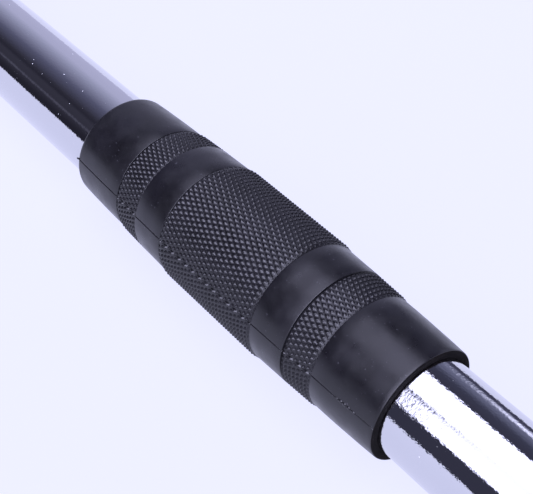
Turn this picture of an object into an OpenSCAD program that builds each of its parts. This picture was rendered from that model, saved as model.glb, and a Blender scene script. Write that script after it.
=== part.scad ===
// Telescopic golf ball retriever: four nested tubes, two rubber grips and a spring-catch head.
// +X runs from the butt to the head and +Z is up. The retriever lies on the ground, and the
// origin is on the ground under the middle of its length. Distances named "at" are along the
// pole, counted from the butt end. All lengths are in millimetres.

/* [Pole] */
// Outside diameter of the handle tube
handle_tube_d = 22; // [21.8:0.1:22.2]
// Wall of the handle tube
handle_wall = 1; // [0.9:0.1:1.1]
// Wall of the sliding tubes
sliding_wall = 0.8; // [0.7:0.1:0.9]
// Radial gap between one tube and the next, filled by the shoes and bushes
nesting_gap = 1; // [0.9:0.1:1.1]
// Where the handle tube starts, behind the butt cap's flange
handle_tube_start = 8; // [7:1:9]
// Where the handle tube's mouth is
handle_tube_end = 440; // [438:1:442]
// How far each sliding tube's inner end sits ahead of the one around it, and behind the cap's stem
inner_step = 4; // [3:0.5:5]

/* [Butt grip] */
// Length of the rubber grip on the butt
butt_grip_length = 160; // [150:5:170]
// Largest diameter of the butt grip, which sets the height of the pole over the ground
butt_grip_d = 30; // [29.6:0.2:30]
// Diameter of the butt grip at its ends
butt_grip_end_d = 26; // [25.6:0.2:26.4]
// Diameter of the cap's flange
butt_cap_d = 27.2; // [26.6:0.2:28]
// Length of the cap's stem inside the tube
butt_cap_stem = 16; // [12:1:18]

/* [Middle grip] */
// Length of the barrel-shaped grip on the handle tube
mid_grip_length = 98; // [96:1:100]
// Where the middle grip starts
mid_grip_start = 243; // [235:1:250]
// Diameter over the wide knurled band
mid_grip_d = 29.2; // [29:0.1:29.4]
// Diameter at the rounded ends
mid_grip_end_d = 25.1; // [24.9:0.1:25.3]
// Height of the knurl over the smooth bands beside it
knurl_height = 0.35; // [0.25:0.05:0.4]

/* [Shoes, bushes and ferrules] */
// Clearance of a running fit on the radius
running_fit = 0.05; // [0.03:0.01:0.08]
// Length of the brass friction shoes
shoe_length = 25; // [22:1:27]
// Width of the slit in a shoe
shoe_slit = 1.6; // [1.2:0.2:2]
// Length of the stop ring at a sliding tube's inner end
stop_length = 5; // [4:0.5:6]
// Length of a bush inside its tube
bush_length = 25; // [22:1:27]
// Thickness of a bush's flange
bush_flange = 2.5; // [2:0.1:3]
// Thickness of a ferrule's turned-in lip
ferrule_lip = 1.2; // [1:0.1:1.4]
// Wall of a ferrule
ferrule_wall = 1.1; // [0.9:0.1:1.2]
// Length of the handle tube's ferrule
handle_ferrule_length = 19.7; // [18:0.1:22]
// Length of the sliding tubes' ferrules
sliding_ferrule_length = 14; // [13:0.5:15]
// Gap left between ferrules when the pole is closed
closed_gap = 0.5; // [0.4:0.1:0.8]

/* [Head] */
// Inside diameter of the ring, a little over a golf ball's 42.67
ring_bore_d = 48; // [47.6:0.2:48.4]
// Wall of the ring
ring_wall = 4; // [3.8:0.1:4.2]
// Height of the ring
ring_height = 20; // [19:0.5:21]
// How far the rolled lip stands out of the ring
ring_lip = 0.8; // [0.6:0.1:1]
// Length of the socket outside the ring
socket_length = 30; // [29:0.5:31]
// Diameter of the socket
socket_d = 17; // [16:0.5:18]
// Depth of the socket's bore
socket_depth = 24; // [22:1:25]
// Diameter of the hoop wire
hoop_wire_d = 3; // [2.8:0.1:3.2]
// Height of the lower hoop's bend over the ground
hoop_spring_z = 26; // [25.5:0.5:27]
// Diameter of the cross rivet
rivet_d = 3; // [2.6:0.2:3.2]

/* [Catches] */
// Width of a catch between its cheeks
catch_width = 13.4; // [13:0.1:13.6]
// Height of a catch's pivot over the ground
pivot_z = 13; // [12.5:0.5:13.5]
// Diameter of a catch's pivot pin
pivot_pin_d = 2; // [1.8:0.1:2.2]
// Reach of a catch's finger inwards from its pivot
finger_reach = 10; // [9.5:0.1:10.2]
// Reach of a catch's thumb tab outwards from its pivot
tab_reach = 11; // [10:0.5:11.5]
// Rise of the thumb tab in degrees
tab_rise = 15; // [12:1:18]
// Thickness of a catch's plates
catch_plate = 2.4; // [2.2:0.1:2.5]

/* [Hidden] */
$fn = 96;
eps = 0.01;

// Tubes, from the handle (0) inwards: outside radius, bore, inner end and mouth of each.
axis_z = butt_grip_d / 2;
function tube_r(n) = handle_tube_d / 2 - (n == 0 ? 0 : handle_wall + (n - 1) * sliding_wall + n * nesting_gap);
function tube_bore(n) = tube_r(n) - (n == 0 ? handle_wall : sliding_wall);
function tube_start(n) = handle_tube_start + (n == 0 ? 0 : butt_cap_stem + n * inner_step);
function ferrule_end(n) = handle_tube_end + bush_flange + ferrule_lip + n * (closed_gap + sliding_ferrule_length);
function tube_mouth(n) = n == 0 ? handle_tube_end : ferrule_end(n) - ferrule_lip - bush_flange;
function shoe_start(n) = tube_start(n) + stop_length + shoe_play;
function bead_at(n) = shoe_start(n) + shoe_length + bead_setback;
lip_clearance = 0.9;
ferrule_edge = 0.4;
shoe_play = 0.3;
bead_setback = 1;
bead_r = 0.6;
stop_play = 0.2;

// Head
socket_start = ferrule_end(2) + closed_gap;
ring_r = ring_bore_d / 2;
ring_out_r = ring_r + ring_wall;
head_at = socket_start + socket_length + ring_out_r;
overall = head_at + ring_out_r + ring_lip;
head_x = head_at - overall / 2;
fourth_mouth = socket_start + socket_depth;
rivet_at = socket_start + socket_depth * 7 / 12;
rivet_head_r = 3;
rivet_head = 1.2;
plug_setback = 2;
hoop_r = ring_r + ring_wall / 2;
hoop_foot_z = 8;
hoop_weld = 0.1;
boss_r = 3.3;
boss_foot_z = 0.8;
boss_proud = 1.5;
lip_edge = 0.8;
lip_top_z = 3.2;
lip_taper = 1.2;
lead_in = 1.6;
lead_in_z = 4;
socket_chamfer = 1;
web_height = 5;
web_length = 10;
web_end_x = 0.65 * ring_r;
web_end_y = 0.9 * ring_r;

// Catches
pivot_y = ring_r + ring_wall / 2;
window_gap = 0.6;
window_half = catch_width / 2 + window_gap;
window_z = 6.5;
cheek_width = 3.6;
cheek_inset = 1;
cheek_proud = 1.2;
cheek_foot_z = 3;
cheek_r = 3.1;
cheek_outer = window_half + cheek_width;
spot_face_r = 2.3;
barrel_r = 2.2;
barrel_end = 2.7;
spring_start = 3.1;
spring_end = 6.4;
spring_r = 2;
spring_wire_d = 0.7;
spring_leg = 7;
leg_shift = 0.05;
leg_inset = 0.1;
leg_root = 0.55;
leg_foot = window_z + 0.1;
pin_head_r = 1.9;
pin_head = 1;
pin_tail = 0.4;
stop_lug_reach = 1.7;
stop_lug_top = 11.5;
stop_lug_width = 8;
stop_lug_sunk = 2;
stop_lug_setback = 1.6;
barrel_clearance = 0.35;
finger_step = 0.6;
through = 20;

// Places children on the pole's axis at a distance from the butt, with their +Z along the pole.
module on_pole(at) {
    translate([at - overall / 2, 0, axis_z])
        rotate([0, 90, 0])
            children();
}

// Places children at the middle of the ring, on the ground.
module on_head() {
    translate([head_x, 0, 0])
        children();
}

// A pipe along the pole from one distance to another.
module pipe(from, to, r_out, r_in) {
    on_pole(from)
        difference() {
            cylinder(h = to - from, r = r_out);
            translate([0, 0, -1])
                cylinder(h = to - from + 2, r = r_in);
        }
}

// A rod along X between two places, at a height and a distance to the left.
module cross_rod(from, to, y, z, r) {
    translate([from, y, z])
        rotate([0, 90, 0])
            cylinder(h = to - from, r = r);
}

// One half of a grip's outline from its end to its middle, as [radius, distance] points.
// share is the part of the bulge reached at each distance, and the knurled bands stand proud.
grip_edge = 0.5;
mid_end_r = mid_grip_end_d / 2;
mid_bulge = mid_grip_d / 2 - knurl_height - mid_end_r;
function mid_r(share) = mid_end_r + share * mid_bulge;
mid_half = [
    [mid_end_r - grip_edge, 0], [mid_r(0), 0.6], [mid_r(0.22), 4], [mid_r(0.38), 10], [mid_r(0.45), 16.5],
    [mid_r(0.45) + knurl_height, 16.5], [mid_r(0.64) + knurl_height, 24.4],
    [mid_r(0.76), 24.4], [mid_r(0.9), 33.7],
    [mid_r(0.94) + knurl_height, 33.7], [mid_r(1) + knurl_height, 40]
];
butt_end_r = butt_grip_end_d / 2;
butt_bulge = butt_grip_d / 2 - knurl_height - butt_end_r;
function butt_r(share) = butt_end_r + share * butt_bulge;
butt_half = [
    [butt_end_r - grip_edge, 0], [butt_r(0), 0.6], [butt_r(0.25), 6], [butt_r(0.5), 20],
    [butt_r(0.5) + knurl_height, 20], [butt_r(0.7) + knurl_height, 34],
    [butt_r(0.75), 34], [butt_r(0.9), 46],
    [butt_r(0.92) + knurl_height, 46], [butt_r(1) + knurl_height, 60]
];

// A rubber grip on the handle tube: the half outline, mirrored about the middle of its length.
module grip(half_outline, length) {
    count = len(half_outline);
    far_half = [for (i = [count - 1:-1:0]) [half_outline[i][0], length - half_outline[i][1]]];
    tube_side = [[handle_tube_d / 2, length], [handle_tube_d / 2, 0]];
    rotate_extrude()
        polygon(concat(half_outline, far_half, tube_side));
}

module butt_cap() {
    color("#26262a") on_pole(0) {
        rotate_extrude()
            polygon([
                [0, 0], [6, 0.4], [10, 1.6], [12.4, 3.4],
                [butt_cap_d / 2, 5.6], [butt_cap_d / 2, handle_tube_start], [0, handle_tube_start]
            ]);
        cylinder(h = handle_tube_start + butt_cap_stem, r = tube_bore(0));
    }
}

module butt_grip() {
    color("#26262a") on_pole(handle_tube_start)
        grip(butt_half, butt_grip_length);
}

module mid_grip() {
    color("#2b2b33") on_pole(mid_grip_start)
        grip(mid_half, mid_grip_length);
}

// A chrome tube. A sliding one has a rolled bead that keeps its shoe in place.
module tube(n, from, to) {
    color("#d5d5ea") {
        pipe(from, to, tube_r(n), tube_bore(n));
        if (n > 0)
            on_pole(bead_at(n))
                rotate_extrude()
                    translate([tube_r(n), 0])
                        circle(r = bead_r, $fn = 24);
    }
}

// A split brass sleeve that grips the tube around it, and in which its own tube turns.
module shoe(n) {
    color("#c8a552") difference() {
        pipe(shoe_start(n), shoe_start(n) + shoe_length, tube_bore(n - 1) - running_fit, tube_r(n) + running_fit);
        translate([shoe_start(n) - overall / 2 - 1, -shoe_slit / 2, axis_z])
            cube([shoe_length + 2, shoe_slit, handle_tube_d]);
    }
}

// A nylon ring pressed on a sliding tube's inner end, which stops it at the end of its travel.
module stop_ring(n) {
    color("#e8e6dc")
        pipe(tube_start(n), tube_start(n) + stop_length, tube_bore(n - 1) - stop_play, tube_r(n));
}

// A nylon bush in a tube's mouth, with a flange on the tube's end.
module bush(n) {
    inner = tube_r(n + 1) + running_fit;
    color("#1c1c1f") {
        pipe(tube_mouth(n) - bush_length, tube_mouth(n) + eps, tube_bore(n), inner);
        pipe(tube_mouth(n), tube_mouth(n) + bush_flange, tube_r(n), inner);
    }
}

// A chrome ferrule over a tube's mouth, with its lip turned in over the bush.
module ferrule(n, length) {
    in_r = tube_r(n);
    out_r = in_r + ferrule_wall;
    lip_r = tube_r(n + 1) + lip_clearance;
    lip_at = length - ferrule_lip;
    color("#c9c9de") on_pole(ferrule_end(n) - length)
        rotate_extrude()
            polygon([
                [in_r, 0], [out_r - ferrule_edge, 0], [out_r, ferrule_edge],
                [out_r, length - 2 * ferrule_edge], [out_r - 2 * ferrule_edge, length],
                [lip_r, length], [lip_r, lip_at], [in_r, lip_at]
            ]);
}

// The fourth tube ends in the head's socket, with a hole for the cross rivet.
module fourth_tube() {
    difference() {
        tube(3, tube_start(3), fourth_mouth);
        rivet_hole();
    }
}

module rivet_hole() {
    on_pole(rivet_at)
        rotate([90, 0, 0])
            cylinder(h = 3 * socket_d, r = rivet_d / 2, center = true);
}

module neck_plug() {
    color("#b9bcc2") difference() {
        on_pole(socket_start + plug_setback)
            cylinder(h = socket_depth - plug_setback, r = tube_bore(3));
        rivet_hole();
    }
}

module neck_rivet() {
    color("#b4b6bb") {
        on_pole(rivet_at)
            rotate([90, 0, 0])
                cylinder(h = socket_d + 1, r = rivet_d / 2, center = true);
        for (side = [0, 1])
            mirror([0, side, 0])
                on_pole(rivet_at)
                    rotate([-90, 0, 0])
                        translate([0, 0, socket_d / 2])
                            cylinder(h = rivet_head, r1 = rivet_head_r, r2 = rivet_head_r - 1);
    }
}

// The ring's wall, with a funnel-shaped lead-in for the ball and a rolled lip on the ground.
module ring_wall_shape() {
    rotate_extrude()
        polygon([
            [ring_r + lead_in, 0], [ring_out_r + ring_lip - lip_edge, 0], [ring_out_r + ring_lip, lip_edge],
            [ring_out_r + ring_lip, lip_top_z], [ring_out_r, lip_top_z + lip_taper],
            [ring_out_r, ring_height - lip_edge], [ring_out_r - lip_edge, ring_height],
            [ring_r + lip_edge, ring_height], [ring_r, ring_height - lip_edge], [ring_r, lead_in_z]
        ]);
}

// The socket that holds the pole, and the web that spreads its load into the ring.
module socket_shape() {
    on_pole(socket_start) {
        cylinder(h = socket_chamfer, r1 = socket_d / 2 - socket_chamfer, r2 = socket_d / 2);
        translate([0, 0, socket_chamfer])
            cylinder(h = socket_length + 1, r = socket_d / 2);
    }
    on_head()
        translate([0, 0, axis_z - web_height / 2])
            linear_extrude(web_height)
                polygon([
                    [-ring_out_r - web_length, 1 - socket_d / 2], [-ring_out_r - web_length, socket_d / 2 - 1],
                    [-web_end_x, web_end_y], [-web_end_x, -web_end_y]
                ]);
}

// One cheek that carries a catch's pin. It stands on the ring's lip.
module cheek(from) {
    translate([from, ring_r - cheek_inset, cheek_foot_z])
        cube([cheek_width, ring_wall + cheek_inset + cheek_proud, pivot_z - cheek_foot_z]);
    cross_rod(from, from + cheek_width, pivot_y, pivot_z, cheek_r);
}

// The moulded ring: bosses for the hoops, cheeks and windows for the catches, and the socket.
module head_ring() {
    color("#202024") {
        ring_and_socket();
        on_head() both_sides() stop_lug();
    }
}

module ring_and_socket() {
    difference() {
        union() {
            on_head() ring_wall_shape();
            on_head() hoop_feet(boss_r, boss_foot_z, ring_height + boss_proud);
            on_head() both_sides() {
                cheek(window_half);
                cheek(-window_half - cheek_width);
            }
            socket_shape();
        }
        on_head() bore_and_lead_in();
        on_head() both_sides() {
            translate([-window_half, ring_r - ring_wall, window_z])
                cube([2 * window_half, through, ring_height]);
            cross_rod(-through, through, pivot_y, pivot_z, pivot_pin_d / 2);
            cross_rod(cheek_outer, through, pivot_y, pivot_z, spot_face_r);
            cross_rod(-through, -cheek_outer, pivot_y, pivot_z, spot_face_r);
        }
        on_head() hoop_feet(hoop_wire_d / 2, hoop_foot_z, ring_height + through);
        on_pole(socket_start - 1)
            cylinder(h = socket_depth + 1, r = tube_r(3));
        rivet_hole();
    }
}

// Upright cylinders where the hoops meet the ring.
module hoop_feet(r, from, to) {
    for (turn = [45:90:315])
        rotate([0, 0, turn])
            translate([hoop_r, 0, from])
                cylinder(h = to - from, r = r);
}

// The ring's bore and the funnel at its mouth, which also trim the bosses and the web.
module bore_and_lead_in() {
    translate([0, 0, -eps])
        cylinder(h = lead_in_z + eps, r1 = ring_r + lead_in, r2 = ring_r);
    cylinder(h = ring_height + through, r = ring_r);
}

// Children on the left and their mirror image on the right.
module both_sides() {
    for (side = [0, 1])
        mirror([0, side, 0])
            children();
}

// A lug inside the ring that a catch's finger rests on, hollowed out round the catch's barrel.
module stop_lug() {
    foot = window_z - stop_lug_sunk;
    difference() {
        translate([-window_half + stop_lug_setback, ring_r - stop_lug_reach, foot])
            cube([stop_lug_width, stop_lug_reach + stop_lug_setback, stop_lug_top - foot]);
        cross_rod(-through, through, pivot_y, pivot_z, barrel_r + barrel_clearance);
    }
}

// A bent wire hoop over the ball, with straight legs down into the ring.
module hoop(turn, bend_z) {
    color("#c4c6cc") on_head()
        rotate([0, 0, turn]) {
            translate([0, 0, bend_z])
                rotate([90, 0, 0])
                    rotate_extrude(angle = 180)
                        translate([hoop_r, 0])
                            circle(d = hoop_wire_d, $fn = 32);
            for (side = [-1, 1])
                translate([side * hoop_r, 0, hoop_foot_z])
                    cylinder(h = bend_z - hoop_foot_z, d = hoop_wire_d, $fn = 32);
        }
}

module lower_hoop() {
    hoop(45, hoop_spring_z);
}

module upper_hoop() {
    hoop(135, hoop_spring_z + hoop_wire_d - hoop_weld);
}

// A spring catch: a finger under the ball, a barrel on the pin and a thumb tab outside.
module catch_shape() {
    half = catch_width / 2;
    difference() {
        union() {
            cross_rod(-half, barrel_end, pivot_y, pivot_z, barrel_r);
            translate([-half, pivot_y - finger_reach + catch_plate / 2, pivot_z - catch_plate / 2])
                cube([half + barrel_end, finger_reach - catch_plate / 2, catch_plate]);
            translate([-half, pivot_y - finger_reach + catch_plate / 2, pivot_z - catch_plate / 2])
                cube([catch_width, finger_reach - catch_plate / 2 - spring_r - finger_step, catch_plate]);
            cross_rod(-half, half, pivot_y - finger_reach + catch_plate / 2, pivot_z, catch_plate / 2);
            translate([0, pivot_y, pivot_z])
                rotate([tab_rise, 0, 0]) {
                    translate([-half + 1, 0, -catch_plate / 2])
                        cube([half - 1 + barrel_end, tab_reach - catch_plate / 2, catch_plate]);
                    cross_rod(-half + 1, barrel_end, tab_reach - catch_plate / 2, 0, catch_plate / 2);
                }
        }
        cross_rod(-through, through, pivot_y, pivot_z, pivot_pin_d / 2 + running_fit);
    }
}

module catch(side) {
    color("#585a62") on_head() mirror([0, side, 0]) catch_shape();
}

module left_catch() {
    catch(0);
}

module right_catch() {
    catch(1);
}

// A headed pin through both cheeks.
module pin(side) {
    color("#b4b6bb") on_head() mirror([0, side, 0]) {
        cross_rod(-cheek_outer - pin_tail, cheek_outer, pivot_y, pivot_z, pivot_pin_d / 2);
        cross_rod(cheek_outer, cheek_outer + pin_head, pivot_y, pivot_z, pin_head_r);
    }
}

module left_pin() {
    pin(0);
}

module right_pin() {
    pin(1);
}

// A torsion spring round the pin: one leg presses on the finger, the other stands on the ring.
// The standing leg is set in a little and ends inside the coil's wall, so it meets no face edge-on.
module spring(side) {
    wire_r = spring_wire_d / 2;
    coil_r = spring_r - wire_r;
    color("#a9abb0") on_head() mirror([0, side, 0]) {
        difference() {
            cross_rod(spring_start, spring_end, pivot_y, pivot_z, spring_r);
            cross_rod(spring_start - 1, spring_end + 1, pivot_y, pivot_z, coil_r - wire_r);
        }
        translate([spring_end - wire_r, pivot_y - spring_leg, pivot_z + coil_r])
            rotate([-90, 0, 0])
                cylinder(h = spring_leg, r = wire_r, $fn = 16);
        translate([spring_start + wire_r + leg_shift, pivot_y + coil_r - leg_inset, leg_foot])
            cylinder(h = pivot_z - leg_root - leg_foot, r = wire_r, $fn = 16);
    }
}

module left_spring() {
    spring(0);
}

module right_spring() {
    spring(1);
}

module handle_tube() {
    tube(0, tube_start(0), tube_mouth(0));
}

module second_tube() {
    tube(1, tube_start(1), tube_mouth(1));
}

module third_tube() {
    tube(2, tube_start(2), tube_mouth(2));
}

module second_shoe() {
    shoe(1);
}

module third_shoe() {
    shoe(2);
}

module fourth_shoe() {
    shoe(3);
}

module second_stop() {
    stop_ring(1);
}

module third_stop() {
    stop_ring(2);
}

module fourth_stop() {
    stop_ring(3);
}

module handle_bush() {
    bush(0);
}

module second_bush() {
    bush(1);
}

module third_bush() {
    bush(2);
}

module handle_ferrule() {
    ferrule(0, handle_ferrule_length);
}

module second_ferrule() {
    ferrule(1, sliding_ferrule_length);
}

module third_ferrule() {
    ferrule(2, sliding_ferrule_length);
}

butt_cap();
butt_grip();
handle_tube();
mid_grip();
handle_bush();
handle_ferrule();
second_tube();
second_shoe();
second_stop();
second_bush();
second_ferrule();
third_tube();
third_shoe();
third_stop();
third_bush();
third_ferrule();
fourth_tube();
fourth_shoe();
fourth_stop();
neck_plug();
neck_rivet();
head_ring();
lower_hoop();
upper_hoop();
left_catch();
right_catch();
left_pin();
right_pin();
left_spring();
right_spring();
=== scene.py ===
"""A telescopic golf ball retriever, closed and lying on the ground.

The frame holds the fitted parts. The classes below model each visible piece in detail, in
millimetres, give it its finish and hang it on its body. A small studio holds the camera.
"""
import logging
import math
from dataclasses import dataclass, field
from enum import Enum

import bmesh
import bpy
from mathutils import Matrix, Vector


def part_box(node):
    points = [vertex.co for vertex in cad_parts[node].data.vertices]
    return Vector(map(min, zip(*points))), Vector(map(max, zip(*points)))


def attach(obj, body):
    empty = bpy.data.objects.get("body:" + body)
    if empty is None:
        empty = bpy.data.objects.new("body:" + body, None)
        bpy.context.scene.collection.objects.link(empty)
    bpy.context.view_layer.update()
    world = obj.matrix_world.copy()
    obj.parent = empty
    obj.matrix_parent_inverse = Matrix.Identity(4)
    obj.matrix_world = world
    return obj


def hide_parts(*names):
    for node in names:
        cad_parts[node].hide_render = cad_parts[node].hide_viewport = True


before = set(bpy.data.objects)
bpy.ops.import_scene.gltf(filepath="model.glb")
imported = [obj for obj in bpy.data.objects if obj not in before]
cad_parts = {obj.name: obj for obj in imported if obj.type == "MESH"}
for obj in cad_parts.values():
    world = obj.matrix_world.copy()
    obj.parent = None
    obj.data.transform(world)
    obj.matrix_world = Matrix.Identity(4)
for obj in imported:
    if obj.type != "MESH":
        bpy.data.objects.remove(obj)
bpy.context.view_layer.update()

LOG = logging.getLogger("retriever")
MM = 0.001
AXIS_Z = sum(corner.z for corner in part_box("handle_tube")) / 2 / MM
HEAD_X = (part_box("upper_hoop")[0].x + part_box("upper_hoop")[1].x) / 2 / MM

# Distance within which vertices are one, in millimetres.
WELD = 1e-4
# Pale grey of the dust on the rubber.
DUST = "#55545a"

Tree = bpy.types.NodeTree
Node = bpy.types.Node
Socket = bpy.types.NodeSocket
Piece = bpy.types.Object
Solid = bmesh.types.BMesh
Vert = bmesh.types.BMVert
Edge = bmesh.types.BMEdge
Face = bmesh.types.BMFace
Pair = tuple[float, float]
Point = tuple[float, float, float]
Colour = tuple[float, float, float, float]
# Points of (distance along the axis, radius, corner rounding).
Outline = list[Point]


class Body(Enum):
    """The rigid bodies that pieces ride on."""

    HANDLE = "handle"
    SECOND_SHOE = "second_shoe"
    SECOND_STAGE = "second_stage"
    THIRD_SHOE = "third_shoe"
    THIRD_STAGE = "third_stage"
    FOURTH_SHOE = "fourth_shoe"
    HEAD = "head"
    LEFT_CATCH = "left_catch"
    RIGHT_CATCH = "right_catch"


class Side(Enum):
    """The two sides of the head, with the sign of their Y."""

    LEFT = 1
    RIGHT = -1


# ---------------------------------------------------------------- colour and shader nodes


def linear(code: str) -> Colour:
    """Turns an sRGB hex colour into linear RGBA.

    Args:
        code: Colour as "#rrggbb".

    Returns:
        Linear red, green, blue and an alpha of 1.
    """
    parts = [int(code[i : i + 2], 16) / 255 for i in (1, 3, 5)]
    lin = [c / 12.92 if c <= 0.04045 else ((c + 0.055) / 1.055) ** 2.4 for c in parts]
    return (*lin, 1.0)


def shaded(code: str, share: float) -> Colour:
    """A hex colour as linear RGBA, darkened to a share of its light."""
    return (*(c * share for c in linear(code)[:3]), 1.0)


def per_mm(size: float) -> float:
    """Texture scale at which a pattern's feature is about size millimetres."""
    return 1 / (size * MM)


def add_node(
    tree: Tree, kind: str, settings: dict | None = None, **links: Socket,
) -> Node:
    """Adds a shader node with its settings and incoming links.

    Args:
        tree: Node tree to add to.
        kind: Type of the node, such as "ShaderNodeTexNoise".
        settings: Values by property name, or by input name or number.
        links: Sockets by input name, with underscores for spaces.

    Returns:
        The new node.
    """
    node = tree.nodes.new(kind)
    for key, value in (settings or {}).items():
        if isinstance(key, int) or key in node.inputs:
            node.inputs[key].default_value = value
        else:
            setattr(node, key, value)
    for key, socket in links.items():
        number = key.removeprefix("in_")
        target = node.inputs[int(number)] if number.isdigit() else node.inputs[key.replace("_", " ")]
        tree.links.new(socket, target)
    return node


def ramp(tree: Tree, value: Socket, stops: list[tuple[float, str]]) -> Socket:
    """Adds a colour ramp.

    Args:
        tree: Node tree to add to.
        value: Socket that drives the ramp.
        stops: Places from 0 to 1 with their hex colours.

    Returns:
        The ramp's colour socket.
    """
    node = add_node(tree, "ShaderNodeValToRGB", Fac=value)
    elements = node.color_ramp.elements
    while len(elements) < len(stops):
        elements.new(0.5)
    for element, (place, code) in zip(elements, stops, strict=True):
        element.position = place
        element.color = linear(code)
    return node.outputs["Color"]


def remap(tree: Tree, value: Socket, low: float, high: float, to_low: float, to_high: float) -> Socket:
    """Maps a range onto another, clamped.

    Args:
        tree: Node tree to add to.
        value: Socket to map.
        low: Start of the incoming range.
        high: End of the incoming range.
        to_low: Value at low.
        to_high: Value at high.

    Returns:
        The mapped socket.
    """
    settings = {"From Min": low, "From Max": high, "To Min": to_low, "To Max": to_high}
    return add_node(tree, "ShaderNodeMapRange", settings, Value=value).outputs["Result"]


def math_node(tree: Tree, operation: str, first: Socket, second: Socket) -> Socket:
    """One math operation on two sockets."""
    return add_node(tree, "ShaderNodeMath", {"operation": operation}, in_0=first, in_1=second).outputs[0]


def mix(tree: Tree, share: Socket, first: Socket | Colour, second: Socket | Colour) -> Socket:
    """Mixes two colours, each a socket or a constant.

    Args:
        tree: Node tree to add to.
        share: Share of the second colour.
        first: Colour where the share is 0.
        second: Colour where the share is 1.

    Returns:
        The mixed colour's socket.
    """
    node = add_node(tree, "ShaderNodeMix", {"data_type": "RGBA"}, Factor=share)
    for number, colour in ((6, first), (7, second)):
        if isinstance(colour, tuple):
            node.inputs[number].default_value = colour
        else:
            tree.links.new(colour, node.inputs[number])
    return node.outputs[2]


# ---------------------------------------------------------------- finishes


@dataclass(frozen=True)
class Finish:
    """A surface finish: what the piece is made of and how its surface was made.

    Attributes:
        title: Name of the material.
        slot: Material slot of the record; not used.
        colour: Main colour.
        roughness: Roughness of the untouched surface.
        metallic: 1 for a metal.
        ior: Index of refraction, left alone on a metal.
        specular: Strength of the reflection, 0.5 for a sound surface.
    """

    title: str
    slot: str
    colour: str
    roughness: float
    metallic: float = 0.0
    ior: float = 1.5
    specular: float = 0.5

    def material(self) -> bpy.types.Material:
        """The finish's material, made on first use."""
        found = bpy.data.materials.get(self.title)
        if found:
            return found
        made = bpy.data.materials.new(self.title)
        made.use_nodes = True
        tree = made.node_tree
        shader = tree.nodes["Principled BSDF"]
        shader.inputs["Base Color"].default_value = linear(self.colour)
        shader.inputs["Roughness"].default_value = self.roughness
        shader.inputs["Metallic"].default_value = self.metallic
        if not self.metallic:
            shader.inputs["IOR"].default_value = self.ior
            shader.inputs["Specular IOR Level"].default_value = self.specular
        place = add_node(tree, "ShaderNodeTexCoord").outputs["Object"]
        self.detail(tree, shader, place)
        made.diffuse_color = linear(self.colour)
        return made

    def detail(self, tree: Tree, shader: Node, place: Socket) -> None:
        """Adds what the surface's making and wear leave on it. Each finish has its own."""
        raise NotImplementedError


def noise(tree: Tree, place: Socket, size: float, detail: float = 2.0) -> Socket:
    """Value of a noise whose features are about size millimetres."""
    settings = {"Scale": per_mm(size), "Detail": detail}
    return add_node(tree, "ShaderNodeTexNoise", settings, Vector=place).outputs["Fac"]


def stretched(tree: Tree, place: Socket, along: Point) -> Socket:
    """Coordinates scaled per axis, so that a pattern runs out along the small ones."""
    return add_node(tree, "ShaderNodeMapping", {"Scale": along}, Vector=place).outputs["Vector"]


def spots(tree: Tree, place: Socket, spacing: float, edge: Pair, patches: Pair, kept: Pair) -> Socket:
    """Small round spots scattered in patches.

    Args:
        tree: Node tree to add to.
        place: Object coordinates.
        spacing: Distance between spots, in millimetres.
        edge: Shares of the spacing where a spot starts to fade and where it has gone.
        patches: Size and detail of the noise that picks the patches.
        kept: Values of that noise where spots start to show and where they are full.

    Returns:
        A socket that is 1 on a spot and 0 elsewhere.
    """
    cells = add_node(tree, "ShaderNodeTexVoronoi", {"Scale": per_mm(spacing)}, Vector=place)
    discs = remap(tree, cells.outputs["Distance"], *edge, 1.0, 0.0)
    return math_node(tree, "MULTIPLY", discs, remap(tree, noise(tree, place, *patches), *kept, 0.0, 1.0))


def bump(tree: Tree, shader: Node, height: Socket, depth: float, strength: float) -> None:
    """Bumps a shader by a height socket, at a depth in millimetres and a strength."""
    node = add_node(tree, "ShaderNodeBump", {"Distance": depth * MM, "Strength": strength}, Height=height)
    tree.links.new(node.outputs["Normal"], shader.inputs["Normal"])


@dataclass(frozen=True)
class MouldedRubber(Finish):
    """Compression-moulded black rubber: a soft black with a broad sheen.

    Attributes:
        worn: Colour of the paler patches where the surface has bloomed.
        grain: Size of the mould's grain.
    """

    worn: str = "#1f1e22"
    grain: float = 0.16

    def detail(self, tree: Tree, shader: Node, place: Socket) -> None:
        """Bloom in patches, a fine grain and a few pale specks of dust.

        Args:
            tree: Node tree of the material.
            shader: Its principled shader.
            place: Object coordinates.
        """
        patches = noise(tree, place, 7.0, 4.0)
        tint = ramp(tree, patches, [(0.35, self.colour), (0.7, self.worn)])
        specks = remap(tree, noise(tree, place, 0.45, 1.0), 0.74, 0.78, 0.0, 0.55)
        tree.links.new(mix(tree, specks, tint, linear(DUST)), shader.inputs["Base Color"])
        gloss = noise(tree, place, 3.0, 3.0)
        rough = remap(tree, gloss, 0.3, 0.7, self.roughness - 0.05, self.roughness + 0.07)
        tree.links.new(rough, shader.inputs["Roughness"])
        grain = noise(tree, place, self.grain, 3.0)
        bump(tree, shader, grain, 0.02, 0.35)


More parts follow.
